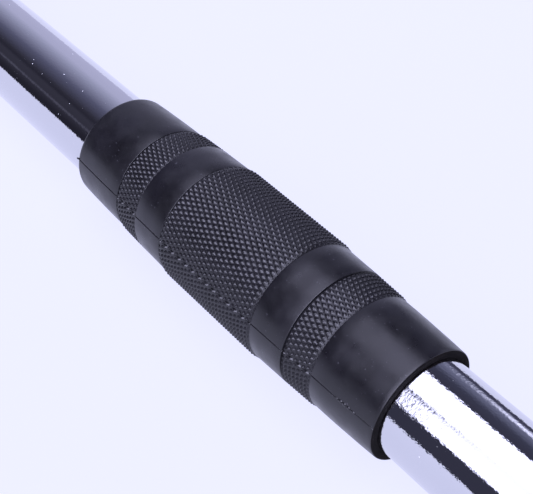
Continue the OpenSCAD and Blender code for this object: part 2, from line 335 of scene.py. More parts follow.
@dataclass(frozen=True)
class ChromePlate(Finish):
    """Bright chrome plate over drawn steel tube: a cool mirror with draw lines, pits and dust.

    Attributes:
        peel: Height of the plate's unevenness.
        uneven: X where an uneven stretch starts and where it has gone.
        uneven_peel: Height of the unevenness added at the start of that stretch.
    """

    peel: float = 1.5
    uneven: Pair = (0.0, 1.0)
    uneven_peel: float = 0.0

    def detail(self, tree: Tree, shader: Node, place: Socket) -> None:
        """Draw lines along the tube, a slight peel, pits that scatter the light, and dust.

        Args:
            tree: Node tree of the material.
            shader: Its principled shader.
            place: Object coordinates.
        """
        lines = noise(tree, stretched(tree, place, (0.012, 1.0, 1.0)), 0.35, 2.0)
        pits = spots(tree, place, 1.1, (0.05, 0.13), (2.6, 1.0), (0.56, 0.6))
        rough = remap(tree, lines, 0.3, 0.7, self.roughness, self.roughness + 0.035)
        rough = math_node(tree, "MAXIMUM", rough, remap(tree, pits, 0.0, 1.0, 0.0, 0.4))
        tree.links.new(rough, shader.inputs["Roughness"])
        swell = remap(tree, lines, 0.0, 1.0, 0.0, 0.12)
        along = add_node(tree, "ShaderNodeSeparateXYZ", Vector=place).outputs["X"]
        start, gone = (x * MM for x in self.uneven)
        fades = remap(tree, along, start, gone, 1.0, 0.0)
        zone = math_node(tree, "MULTIPLY", fades, remap(tree, along, start - MM, start, 0.0, 1.0))
        height = remap(tree, zone, 0.0, 1.0, self.peel, self.peel + self.uneven_peel)
        peel = math_node(tree, "MULTIPLY", noise(tree, place, 0.55, 2.0), height)
        surface = math_node(tree, "ADD", swell, peel)
        dust = spots(tree, place, 1.7, (0.05, 0.1), (3.4, 2.0), (0.54, 0.6))
        tree.links.new(remap(tree, dust, 0.0, 1.0, 1.0, 0.0), shader.inputs["Metallic"])
        bump(tree, shader, math_node(tree, "SUBTRACT", surface, pits), 0.009, 1.0)


@dataclass(frozen=True)
class MouldedPlastic(Finish):
    """Injection-moulded plastic with a fine spark-eroded texture: a dull, even surface.

    Attributes:
        grain: Size of the texture.
        depth: Depth of the texture.
    """

    grain: float = 0.3
    depth: float = 0.025

    def detail(self, tree: Tree, shader: Node, place: Socket) -> None:
        """A fine texture and slow changes of gloss from the mould's flow.

        Args:
            tree: Node tree of the material.
            shader: Its principled shader.
            place: Object coordinates.
        """
        flow = noise(tree, stretched(tree, place, (0.4, 1.0, 1.0)), 6.0, 3.0)
        rough = remap(tree, flow, 0.3, 0.7, self.roughness - 0.05, self.roughness + 0.06)
        tree.links.new(rough, shader.inputs["Roughness"])
        share = remap(tree, flow, 0.3, 0.8, 0.0, 1.0)
        shade = mix(tree, share, linear(self.colour), shaded(self.colour, 0.8))
        tree.links.new(shade, shader.inputs["Base Color"])
        bump(tree, shader, noise(tree, place, self.grain, 3.0), self.depth, 0.4)


@dataclass(frozen=True)
class WorkedMetal(Finish):
    """Drawn wire, turned pins and rolled strip: bare metal with fine lines left by the tool.

    Attributes:
        along: Scale per axis, small along the lines.
        line: Spacing of the lines.
    """

    along: Point = (1.0, 1.0, 0.05)
    line: float = 0.2

    def detail(self, tree: Tree, shader: Node, place: Socket) -> None:
        """Tool lines in gloss and height, and a slow change of colour.

        Args:
            tree: Node tree of the material.
            shader: Its principled shader.
            place: Object coordinates.
        """
        lines = noise(tree, stretched(tree, place, self.along), self.line, 3.0)
        rough = remap(tree, lines, 0.3, 0.7, self.roughness - 0.06, self.roughness + 0.1)
        tree.links.new(rough, shader.inputs["Roughness"])
        tarnish = mix(tree, noise(tree, place, 4.0, 3.0), linear(self.colour), shaded(self.colour, 0.82))
        tree.links.new(tarnish, shader.inputs["Base Color"])
        bump(tree, shader, lines, 0.004, 0.3)


# Rubber reads as a soft black with a satin sheen; the grips' end faces get a darker, duller rubber that
# paints shade on them, dead black.
GRIP_RUBBER = MouldedRubber("moulded rubber, black", "grip_rubber", "#0a090c", 0.32, worn="#131216")
# Painted shade: a darker, less reflective rubber for the grips' end faces.
END_FACE_SHADE_RUBBER = MouldedRubber(
    "rubber end face in painted shade, black", "grip_rubber", "#0a0708", 0.85, specular=0.12, worn="#120a09",
)
# The chrome is a cool mirror, a little uneven like orange peel, and more so by the middle grip.
TUBE_CHROME = ChromePlate("chrome plate on drawn tube", "tube_chrome", "#d4d5d7", 0.02, 1.0)
HANDLE_CHROME = ChromePlate(
    "chrome plate on the handle tube", "tube_chrome", "#d4d5d7", 0.02, 1.0,
    uneven=(61.0, 88.0), uneven_peel=2.0,
)
FERRULE_CHROME = ChromePlate("chrome plate on pressed ferrule", "ferrule_chrome", "#ced0d3", 0.04, 1.0)
# Filled nylon is a dull black; natural nylon is an ivory white.
BUSH_NYLON = MouldedPlastic("glass-filled nylon, black", "bush_nylon", "#18181b", 0.42, ior=1.53)
STOP_NYLON = MouldedPlastic("natural nylon", "stop_nylon", "#dedbcf", 0.45, ior=1.53)
# Rolled brass strip shows lines along the sleeve.
SHOE_BRASS = WorkedMetal("rolled brass strip", "shoe_brass", "#c9a14a", 0.3, 1.0, along=(0.05, 1.0, 1.0))
# Turned aluminium is a pale satin with faint tool rings.
PLUG_ALUMINIUM = WorkedMetal(
    "turned aluminium", "plug_aluminium", "#c6c8cc", 0.35, 1.0, along=(1.0, 0.2, 0.2),
)
# Bright drawn stainless shows a grey mirror broken by die lines.
STAINLESS = WorkedMetal("drawn stainless wire", "stainless_steel", "#c3c4c9", 0.24, 1.0)
SPRING_STEEL = WorkedMetal("bright spring wire", "spring_steel", "#a3a4ab", 0.28, 1.0)
# Acetal mouldings: a black ring with a fine texture, and grey catches that read apart from it.
HEAD_PLASTIC = MouldedPlastic("textured acetal, black", "head_plastic", "#1f1f24", 0.45, ior=1.48)
CATCH_PLASTIC = MouldedPlastic("acetal, graphite grey", "catch_plastic", "#585a62", 0.4, ior=1.48)


# ---------------------------------------------------------------- mesh helpers


def verts_of(made: dict, key: str = "geom") -> list[Vert]:
    """The vertices in an operator's result."""
    return [g for g in made[key] if isinstance(g, Vert)]


def edges_of(made: dict, key: str = "geom") -> list[Edge]:
    """The edges in an operator's result."""
    return [g for g in made[key] if isinstance(g, Edge)]


def put(bm: Solid, matrix: Matrix) -> None:
    """Moves a whole mesh by a matrix."""
    bmesh.ops.transform(bm, matrix=matrix, verts=bm.verts[:])


def shift(bm: Solid, way: Point) -> None:
    """Moves a whole mesh along a vector."""
    bmesh.ops.translate(bm, vec=way, verts=bm.verts[:])


def push_out(vert: Vert, distance: float) -> None:
    """Moves a vertex away from the X axis."""
    vert.co += Vector((0, vert.co.y, vert.co.z)).normalized() * distance


def face_outwards(bm: Solid) -> None:
    """Turns every face outwards."""
    bmesh.ops.recalc_face_normals(bm, faces=bm.faces[:])


def bevel(bm: Solid, geom: list, size: float, segments: int, affect: str = "EDGES") -> None:
    """Rounds edges, or with affect "VERTICES" corners, to a size."""
    bmesh.ops.bevel(
        bm, geom=geom, offset=size, offset_type="OFFSET", segments=segments,
        profile=0.5, affect=affect, material=-1,
    )


def split_at(bm: Solid, point: Point, normal: Point | Vector, clear_outer: bool = False) -> dict:
    """Cuts a mesh along a plane and can drop what lies beyond it.

    Args:
        bm: The mesh.
        point: A point of the plane.
        normal: The plane's normal.
        clear_outer: Whether the side that the normal points to is dropped.

    Returns:
        The operator's result.
    """
    return bmesh.ops.bisect_plane(
        bm, geom=bm.verts[:] + bm.edges[:] + bm.faces[:], dist=WELD,
        plane_co=point, plane_no=normal, clear_outer=clear_outer,
    )


def revolve(outline: Outline, steps: int, closed: bool = True, rounds: int = 3) -> Solid:
    """Spins an outline round the X axis.

    Args:
        outline: Points of (distance along the axis, radius, corner rounding).
        steps: Facets round the axis.
        closed: Whether the outline's last point joins its first.
        rounds: Segments of each rounded corner.

    Returns:
        The closed solid.
    """
    bm = bmesh.new()
    points = [bm.verts.new((x, 0.0, r)) for x, r, _ in outline]
    for i in range(len(points) - (not closed)):
        bm.edges.new((points[i], points[(i + 1) % len(points)]))
    for size in sorted({c for _, _, c in outline if c > 0}):
        corners = [v for v, (_, _, c) in zip(points, outline, strict=True) if c == size]
        bevel(bm, corners, size, rounds, "VERTICES")
    bmesh.ops.spin(
        bm, geom=bm.verts[:] + bm.edges[:], cent=(0, 0, 0), axis=(1, 0, 0),
        angle=math.tau, steps=steps, use_merge=True,
    )
    bmesh.ops.remove_doubles(bm, verts=bm.verts[:], dist=WELD)
    face_outwards(bm)
    return bm


def pour(target: Solid, source: Solid, matrix: Matrix | None = None) -> None:
    """Adds one mesh to another and frees it.

    Args:
        target: Mesh that receives.
        source: Mesh that is added.
        matrix: Where it goes, if not where it is.
    """
    if matrix:
        put(source, matrix)
        if matrix.determinant() < 0:
            bmesh.ops.reverse_faces(source, faces=source.faces[:])
    carrier = bpy.data.meshes.new("carrier")
    source.to_mesh(carrier)
    source.free()
    target.from_mesh(carrier)
    bpy.data.meshes.remove(carrier)


def rounded_block(size: Point, centre: Point, edge: float) -> Solid:
    """A block with rounded edges.

    Args:
        size: Its full sizes.
        centre: Its middle.
        edge: Rounding of every edge.

    Returns:
        The block.
    """
    bm = bmesh.new()
    bmesh.ops.create_cube(bm, size=1.0, matrix=Matrix.Translation(centre) @ Matrix.Diagonal((*size, 1.0)))
    bevel(bm, bm.edges[:], edge, 3)
    return bm


def prism(points: list[Pair], thickness: float, edge: float) -> Solid:
    """A flat plate with rounded edges, standing on the XY plane.

    Args:
        points: Its outline, anticlockwise.
        thickness: Its height along Z.
        edge: Rounding of its edges.

    Returns:
        The plate.
    """
    bm = bmesh.new()
    face = bm.faces.new([bm.verts.new((x, y, 0.0)) for x, y in points])
    grown = bmesh.ops.extrude_face_region(bm, geom=[face])
    bmesh.ops.translate(bm, vec=(0, 0, thickness), verts=verts_of(grown))
    face_outwards(bm)
    bevel(bm, bm.edges[:], edge, 2)
    return bm


def finish_piece(
    bm: Solid, name: str, finish: Finish, body: Body, at: Point = (0, 0, 0), sharp: float = 38.0,
) -> Piece:
    """Turns a mesh in millimetres into a piece of the object.

    Args:
        bm: The mesh, which is freed.
        name: Name of the piece, which stands for the CAD node of the same name.
        finish: Its finish.
        body: The body it rides on.
        at: Where the mesh's origin goes in the frame, in millimetres.
        sharp: Edges that turn by more degrees than this stay sharp.

    Returns:
        The piece.
    """
    put(bm, Matrix.Scale(MM, 4) @ Matrix.Translation(at))
    for face in bm.faces:
        face.smooth = True
    mesh = bpy.data.meshes.new(name)
    bm.to_mesh(mesh)
    bm.free()
    mesh.set_sharp_from_angle(angle=math.radians(sharp))
    mesh.materials.append(finish.material())
    piece = bpy.data.objects.new(f"{name}_detail", mesh)
    bpy.context.scene.collection.objects.link(piece)
    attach(piece, body.value)
    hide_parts(name)
    LOG.info("%s: %d faces on %s", name, len(mesh.polygons), body.value)
    return piece


def on_pole(node: str) -> Point:
    """The point on the pole's axis where a node starts, in millimetres."""
    return (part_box(node)[0].x / MM, 0.0, AXIS_Z)


# ---------------------------------------------------------------- grips


@dataclass(frozen=True)
class KnurlBand:
    """One knurled band of a grip.

    Attributes:
        start: Where it starts, from the grip's end.
        end: Where it ends.
        top_start: Radius over the pyramids at its start.
        top_end: Radius over the pyramids at its end.
    """

    start: float
    end: float
    top_start: float
    top_end: float


@dataclass
class Knurl:
    """Staggered columns of small moulded pyramids: a 30 degree knurl.

    Attributes:
        around: Pyramids in one column.
        pitch: Distance from one column to the next.
        depth: Height of a pyramid over its grooves.
        insets: Steps of a pyramid's side, as (inwards, upwards).
        rounding: Share of its length along the pole that a pyramid keeps above its first step.
        half_share: Size of the half pyramids at a band's ends, as a share of a whole one.
    """

    around: int = 72
    pitch: float = 1.18
    depth: float = 0.45
    insets: tuple[Pair, ...] = ((0.1, 0.01), (0.11, 0.2), (0.1, 0.13), (0.09, 0.08), (0.06, 0.03))
    rounding: float = 0.66
    half_share: float = 0.62

    def build(self, band: KnurlBand, gap: float, skirt: float) -> Solid:
        """Makes a band as a closed shell round the X axis.

        Args:
            band: The band.
            gap: Gap left at both ends of the band.
            skirt: How deep the shell's inner wall lies under its grooves.

        Returns:
            The band's mesh.
        """
        start, end = band.start + gap, band.end - gap
        length = end - start
        columns = round(length / self.pitch)
        pitch = length / columns
        floor = (band.top_start + band.top_end) / 2 - self.depth
        bm = self.diamonds(columns, pitch, floor)
        self.raise_pyramids(bm)
        for v in bm.verts:
            share = v.co.x / length
            lift = (1 - share) * band.top_start + share * band.top_end - self.depth - floor
            push_out(v, lift)
        self.close(bm, skirt)
        shift(bm, (start, 0, 0))
        return bm

    def diamonds(self, columns: int, pitch: float, radius: float) -> Solid:
        """A tube of diamond faces, staggered from column to column.

        Args:
            columns: Number of columns.
            pitch: Distance between columns.
            radius: Radius of the tube.

        Returns:
            The open tube, from x = 0.
        """
        bm = bmesh.new()
        rings = math.ceil(columns / 2)
        line = [bm.verts.new((2 * pitch * i, 0, radius)) for i in range(rings + 1)]
        edges = [bm.edges.new(pair) for pair in zip(line, line[1:])]
        bmesh.ops.spin(
            bm, geom=line + edges, cent=(0, 0, 0), axis=(1, 0, 0),
            angle=math.tau, steps=self.around, use_merge=True,
        )
        grid = [e for e in bm.edges if not e.is_boundary]
        for v in bmesh.ops.poke(bm, faces=bm.faces[:])["verts"]:
            push_out(v, radius - v.co.yz.length)
        bmesh.ops.dissolve_edges(bm, edges=grid, use_verts=False, use_face_split=False)
        if columns % 2:
            split_at(bm, (pitch * columns, 0, 0), (1, 0, 0), clear_outer=True)
        face_outwards(bm)
        if bm.faces[0].normal.dot(Vector((0, *bm.faces[0].calc_center_median().yz))) < 0:
            bmesh.ops.reverse_faces(bm, faces=bm.faces[:])
        return bm

    def raise_pyramids(self, bm: Solid) -> None:
        """Raises a rounded pyramid on every diamond and a smaller one on every half diamond.

        Args:
            bm: The tube of diamonds.
        """
        whole = [f for f in bm.faces if len(f.verts) == 4]
        halves = [f for f in bm.faces if len(f.verts) == 3]
        for tops, share in ((whole, 1.0), (halves, self.half_share)):
            for step, (inwards, upwards) in enumerate(self.insets):
                bmesh.ops.inset_individual(
                    bm, faces=tops, thickness=inwards * share, depth=upwards * share, use_even_offset=True,
                )
                if step == 1:
                    self.shorten(tops)

    def shorten(self, tops: list[Face]) -> None:
        """Draws the tips of the diamonds in, which makes the pyramids above them round."""
        for face in tops:
            middle = face.calc_center_median().x
            for v in face.verts:
                v.co.x = middle + (v.co.x - middle) * self.rounding

    @staticmethod
    def close(bm: Solid, skirt: float) -> None:
        """Turns both ends of the band down and joins them inside.

        Args:
            bm: The open band.
            skirt: How far down.
        """
        rims = [e for e in bm.edges if e.is_boundary]
        grown = bmesh.ops.extrude_edge_only(bm, edges=rims)
        for v in verts_of(grown):
            push_out(v, -skirt)
        bmesh.ops.bridge_loops(bm, edges=[e for e in bm.edges if e.is_boundary])
        face_outwards(bm)


@dataclass
class GripSleeve:
    """A barrel-shaped rubber grip with smooth and knurled bands, moulded in two halves.

    Attributes:
        node: Its CAD node.
        length: Its length.
        bore: Radius of the tube inside it.
        smooth: Outline of the smooth bands of one half, as (distance, radius) runs.
        bands: Knurled bands of one half; the last one reaches the middle.
        knurl: The knurl.
        parting: Angle of the parting line round the pole from +Y, in degrees.
        steps: Facets round the smooth bands.
        far_edge: Rounding of the end towards the butt.
        near_edge: Rounding of the end towards the head.
        end_face: Radius within which an end face gets the darker end rubber, painted shade.
        flash: Lumps of flash on the parting line, as (distance, radius, radii).
        gap: Gap between a knurled band and the core.
        recess: Depth of the core's recess under a knurled band's grooves.
        band_edge: Rounding of a smooth band's edge beside a knurled one.
        line_width: Width of the parting line's groove.
        line_depth: Depth of the groove.
        skin: Rubber over the bore that the groove leaves alone.
    """

    node: str
    length: float
    bore: float
    smooth: tuple[tuple[Pair, ...], ...]
    bands: tuple[KnurlBand, ...]
    knurl: Knurl = field(default_factory=Knurl)
    parting: float = 166.0
    steps: int = 216
    far_edge: float = 0.5
    near_edge: float = 0.14
    end_face: float = 12.6
    flash: tuple[tuple[float, float, Point], ...] = ()
    gap: float = 0.06
    recess: float = 0.2
    band_edge: float = 0.12
    line_width: float = 0.36
    line_depth: float = 0.3
    skin: float = 0.6

    def all_bands(self) -> list[KnurlBand]:
        """The knurled bands of the whole length."""
        outer = list(self.bands[:-1])
        middle = self.bands[-1]
        far = [KnurlBand(self.length - b.end, self.length - b.start, b.top_end, b.top_start) for b in outer]
        whole = KnurlBand(middle.start, self.length - middle.start, middle.top_start, middle.top_start)
        return [*outer, whole, *far]

    def core_outline(self) -> Outline:
        """Outline of the core, with a recess under each knurled band."""
        half: Outline = []
        for i, (run, band) in enumerate(zip(self.smooth, self.bands, strict=True)):
            for j, (x, r) in enumerate(run):
                half.append((x, r, self.band_edge if j in (0, len(run) - 1) else 0.0))
            half.append((run[-1][0], band.top_start - self.knurl.depth - self.recess, 0.0))
            if i < len(self.bands) - 1:
                half.append((band.end, band.top_end - self.knurl.depth - self.recess, 0.0))
        x, r, _ = half.pop(0)
        far = [(self.length - x, r, c) for x, r, c in reversed(half)]
        return [
            (0.0, self.bore, 0.0), (x, r, self.far_edge), *half,
            *far, (self.length - x, r, self.near_edge), (self.length, self.bore, 0.0),
        ]

    def build(self, finish: Finish, body: Body) -> Piece:
        """Builds the grip.

        Args:
            finish: Its finish.
            body: The body it rides on.

        Returns:
            The piece.
        """
        bm = revolve(self.core_outline(), self.steps)
        for band in self.all_bands():
            pour(bm, self.knurl.build(band, self.gap, 2 * self.recess))
        self.cut_parting_line(bm)
        for x, radius, size in self.flash:
            pour(bm, self.lump(x, radius, size))
        piece = finish_piece(bm, self.node, finish, body, on_pole(self.node), sharp=110.0)
        # The end faces get the darker, duller rubber: painted shade.
        piece.data.materials.append(END_FACE_SHADE_RUBBER.material())
        for face in piece.data.polygons:
            reach = math.hypot(face.center.y, face.center.z - AXIS_Z * MM)
            if abs(face.normal.x) > 0.8 and reach < self.end_face * MM:
                face.material_index = 1
        return piece

    def lump(self, x: float, radius: float, size: Point) -> Solid:
        """A lump of flash on the parting line.

        Args:
            x: Its place along the grip.
            radius: Distance of its middle from the axis.
            size: Its radii along, across and out of the surface.

        Returns:
            The lump.
        """
        bm = bmesh.new()
        bmesh.ops.create_icosphere(bm, subdivisions=2, radius=1.0)
        turn = Matrix.Rotation(math.radians(self.parting - 90), 4, "X")
        put(bm, turn @ Matrix.Translation((x, 0, radius)) @ Matrix.Diagonal((*size, 1.0)))
        return bm

    def cut_parting_line(self, bm: Solid) -> None:
        """Cuts the fine groove where the mould's halves met, on both sides of the grip.

        Args:
            bm: The grip's mesh.
        """
        reach = math.degrees(self.line_width / 2 / self.bands[-1].top_end)
        for offset in (-reach, reach, 0.0):
            turn = math.radians(self.parting + offset)
            across = Vector((0, -math.sin(turn), math.cos(turn)))
            cut = split_at(bm, (0, 0, 0), across)
        for v in verts_of(cut, "geom_cut"):
            if v.co.yz.length > self.bore + self.skin:
                push_out(v, -self.line_depth)


# ---------------------------------------------------------------- the pole


@dataclass
class ButtCap:
    """The domed plug in the butt, with its stem inside the handle tube.

    Attributes:
        flange: Radius of the flange against the grip.
        head: Thickness of the domed head.
        stem: Length of the stem.
        bore: Radius of the stem.
    """

    flange: float = 13.6
    head: float = 8.0
    stem: float = 16.0
    bore: float = 10.0

    def build(self) -> Piece:
        """Builds the cap with a shallow dish in its face."""
        outline: Outline = [
            (0.9, 0.0, 0.0), (0.6, 3.5, 1.2), (0.0, 6.6, 1.4), (1.6, 10.2, 2.0), (3.4, 12.4, 1.4),
            (5.6, self.flange, 0.7), (self.head - 0.2, self.flange, 0.4), (self.head, self.flange - 0.6, 0.0),
            (self.head, self.bore, 0.0), (self.head + self.stem - 0.6, self.bore, 0.4),
            (self.head + self.stem, self.bore - 0.8, 0.0), (self.head + self.stem, 0.0, 0.0),
        ]
        bm = revolve(outline, 160, closed=False)
        return finish_piece(bm, "butt_cap", GRIP_RUBBER, Body.HANDLE, on_pole("butt_cap"))


@dataclass
class PoleTube:
    """One of the four nested chrome tubes.

    Attributes:
        node: Its CAD node.
        body: The body it rides on.
        radius: Outside radius.
        wall: Wall thickness.
        bead: Distance of the rolled bead from the inner end, or 0 for none.
        bead_r: Radius of the bead's curve.
        finish: Its finish.
    """

    node: str
    body: Body
    radius: float
    wall: float
    bead: float = 0.0
    bead_r: float = 0.6
    finish: Finish = TUBE_CHROME

    def build(self) -> Piece:
        """Builds the tube with burnished ends."""
        low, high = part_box(self.node)
        length = (high.x - low.x) / MM
        inner = self.radius - self.wall
        outline: Outline = [(0.0, inner, 0.15), (0.0, self.radius, 0.25)]
        if self.bead:
            outline += [
                (self.bead - 2 * self.bead_r, self.radius, 0.0),
                (self.bead - self.bead_r, self.radius + 0.1, 0.0),
                (self.bead, self.radius + self.bead_r, 0.5),
                (self.bead + self.bead_r, self.radius + 0.1, 0.0),
                (self.bead + 2 * self.bead_r, self.radius, 0.0),
            ]
        outline += [(length, self.radius, 0.25), (length, inner, 0.15)]
        return finish_piece(revolve(outline, 192), self.node, self.finish, self.body, on_pole(self.node))


@dataclass
class MouthFittings:
    """The nylon bush in a tube's mouth and the chrome ferrule that holds it.

    Attributes:
        stage: Name of the tube's stage, which starts both nodes' names.
        body: The body they ride on.
        outer: Outside radius of the tube they sit on.
        bore: Bore of that tube.
        inner: Radius of the tube that slides in the bush.
        length: Length of the ferrule.
        fit: Gap between the sliding tube and the bush.
        stem: Length of the bush inside the tube.
        flange: Thickness of the bush's flange.
        lip: Length of the ferrule's lip beyond the flange.
        wall: Wall thickness of the ferrule.
        opening: Gap between the sliding tube and the lip.
    """

    stage: str
    body: Body
    outer: float
    bore: float
    inner: float
    length: float
    fit: float = 0.05
    stem: float = 25.0
    flange: float = 2.5
    lip: float = 1.2
    wall: float = 1.1
    opening: float = 0.9

    def build(self) -> list[Piece]:
        """Builds the bush and the ferrule."""
        near = self.inner + self.fit
        face = self.stem + self.flange
        bush: Outline = [
            (0.0, near, 0.3), (0.0, self.bore, 0.3), (self.stem, self.bore, 0.0),
            (self.stem, self.outer, 0.0), (face, self.outer, 0.2), (face, near, 0.4),
        ]
        shell = self.outer + self.wall
        mouth = self.inner + self.opening
        end = self.length
        seat = end - self.lip
        groove = shell - 0.25
        ferrule: Outline = [
            (0.0, self.outer, 0.0), (0.0, shell - 0.3, 0.2), (0.5, shell, 0.3), (end - 4.6, shell, 0.2),
            (end - 4.2, groove, 0.15), (end - 3.8, groove, 0.15), (end - 3.4, shell, 0.2),
            (end - 0.9, shell, 0.7), (end, shell - 1.0, 0.5), (end, mouth, 0.4), (seat, mouth, 0.2),
            (seat, self.outer, 0.0),
        ]
        pairs = ((f"{self.stage}_bush", bush, BUSH_NYLON), (f"{self.stage}_ferrule", ferrule, FERRULE_CHROME))
        return [finish_piece(revolve(o, 160), n, f, self.body, on_pole(n)) for n, o, f in pairs]


class Pole:
    """The handle with its grips, and the three sliding stages."""

    MID_GRIP = GripSleeve(
        "mid_grip", length=98.0, bore=11.0,
        smooth=(
            (
                (0.0, 12.75), (1.0, 12.8), (4.0, 12.97), (7.0, 13.08), (10.0, 13.2), (13.2, 13.28),
                (16.5, 13.32),
            ),
            ((24.4, 13.93), (27.5, 13.99), (30.6, 14.08), (33.7, 14.15)),
        ),
        bands=(KnurlBand(16.5, 24.4, 13.66, 13.98), KnurlBand(33.7, 49.0, 14.58, 14.58)),
        flash=(
            (0.0, 12.75, (0.5, 0.14, 0.3)), (88.6, 13.0, (0.5, 0.3, 0.34)), (89.6, 12.97, (0.6, 0.42, 0.4)),
            (90.6, 12.94, (0.6, 0.5, 0.36)), (91.7, 12.92, (0.5, 0.42, 0.34)), (92.9, 12.9, (0.6, 0.3, 0.3)),
        ),
    )
    BUTT_GRIP = GripSleeve(
        "butt_grip", length=160.0, bore=11.0, near_edge=0.6,
        smooth=(
            ((0.0, 13.0), (2.0, 13.12), (6.0, 13.4), (10.0, 13.6), (15.0, 13.74), (20.0, 13.8)),
            ((34.0, 14.2), (38.0, 14.3), (42.0, 14.4), (46.0, 14.46)),
        ),
        bands=(KnurlBand(20.0, 34.0, 14.15, 14.48), KnurlBand(46.0, 80.0, 14.95, 14.95)),
        knurl=Knurl(insets=((0.1, 0.01), (0.24, 0.44))),
        steps=144,
    )

    def build(self) -> None:
        """Builds every piece of the pole."""
        ButtCap().build()
        self.BUTT_GRIP.build(GRIP_RUBBER, Body.HANDLE)
        self.MID_GRIP.build(GRIP_RUBBER, Body.HANDLE)
        PoleTube("handle_tube", Body.HANDLE, 11.0, 1.0, finish=HANDLE_CHROME).build()
        PoleTube("second_tube", Body.SECOND_STAGE, 9.0, 0.8, 31.3).build()
        PoleTube("third_tube", Body.THIRD_STAGE, 7.2, 0.8, 31.3).build()
        PoleTube("fourth_tube", Body.HEAD, 5.4, 0.8, 31.3).build()
        MouthFittings("handle", Body.HANDLE, 11.0, 10.0, 9.0, 19.7).build()
        MouthFittings("second", Body.SECOND_STAGE, 9.0, 8.2, 7.2, 14.0).build()
        MouthFittings("third", Body.THIRD_STAGE, 7.2, 6.4, 5.4, 14.0).build()


# ---------------------------------------------------------------- the head


def cap_open_ends(bm: Solid) -> None:
    """Closes every open rim and turns the faces outwards."""
    bmesh.ops.holes_fill(bm, edges=[e for e in bm.edges if e.is_boundary], sides=0)
    face_outwards(bm)


def bent_wire(radius: float, sides: int, foot: Point, rise: float, bow: dict, tail: Point) -> Solid:
    """A round wire: a straight leg up, a bow or a coil, and a straight leg out.

    Args:
        radius: Radius of the wire.
        sides: Facets round the wire.
        foot: Where it starts.
        rise: Length of the first leg, along Z.
        bow: Settings of the spin that bends it.
        tail: The last leg, as a vector.

    Returns:
        The closed wire.
    """
    bm = bmesh.new()
    made = bmesh.ops.create_circle(
        bm, cap_ends=False, radius=radius, segments=sides, matrix=Matrix.Translation(foot),
    )
    rim = list(dict.fromkeys(e for v in made["verts"] for e in v.link_edges))
    leg = bmesh.ops.extrude_edge_only(bm, edges=rim)
    bmesh.ops.translate(bm, vec=(0, 0, rise), verts=verts_of(leg))
    end = verts_of(leg) + [e for e in edges_of(leg) if e.is_boundary]
    bent = bmesh.ops.spin(bm, geom=end, **bow)
    leg = bmesh.ops.extrude_edge_only(bm, edges=edges_of(bent, "geom_last"))
    bmesh.ops.translate(bm, vec=tail, verts=verts_of(leg))
    bmesh.ops.remove_doubles(bm, verts=bm.verts[:], dist=WELD)
    cap_open_ends(bm)
    return bm


def take_side(bm: Solid, side: Side) -> None:
    """Mirrors a mesh of the left side if it belongs on the right."""
    if side is Side.RIGHT:
        bmesh.ops.scale(bm, vec=(1, -1, 1), verts=bm.verts[:])
        bmesh.ops.reverse_faces(bm, faces=bm.faces[:])


# Local X, Y and Z of a plate that stands across the head become Y, Z and X.
ACROSS = Matrix(((0, 0, 1, 0), (1, 0, 0, 0), (0, 1, 0, 0), (0, 0, 0, 1)))
# A spun piece's X axis becomes Y, or Z.
ALONG_Y = Matrix.Rotation(math.radians(90), 4, "Z")
ALONG_Z = Matrix.Rotation(math.radians(-90), 4, "Y")
# Angles of the points on a rounded corner.
QUARTER = [math.radians(a) for a in (0, 22.5, 45, 67.5, 90)]


@dataclass
class Pivot:
    """Where a catch's pin crosses the head, and the sizes that hang on it.

    Attributes:
        y: Distance of the pin from the head's middle.
        z: Height of the pin.
        pin: Radius of the pin.
        window: Half width of the window that the catch stands in.
        cheek: Width of a cheek beside it.
    """

    y: float = 26.0
    z: float = 13.0
    pin: float = 1.0
    window: float = 7.3
    cheek: float = 3.6


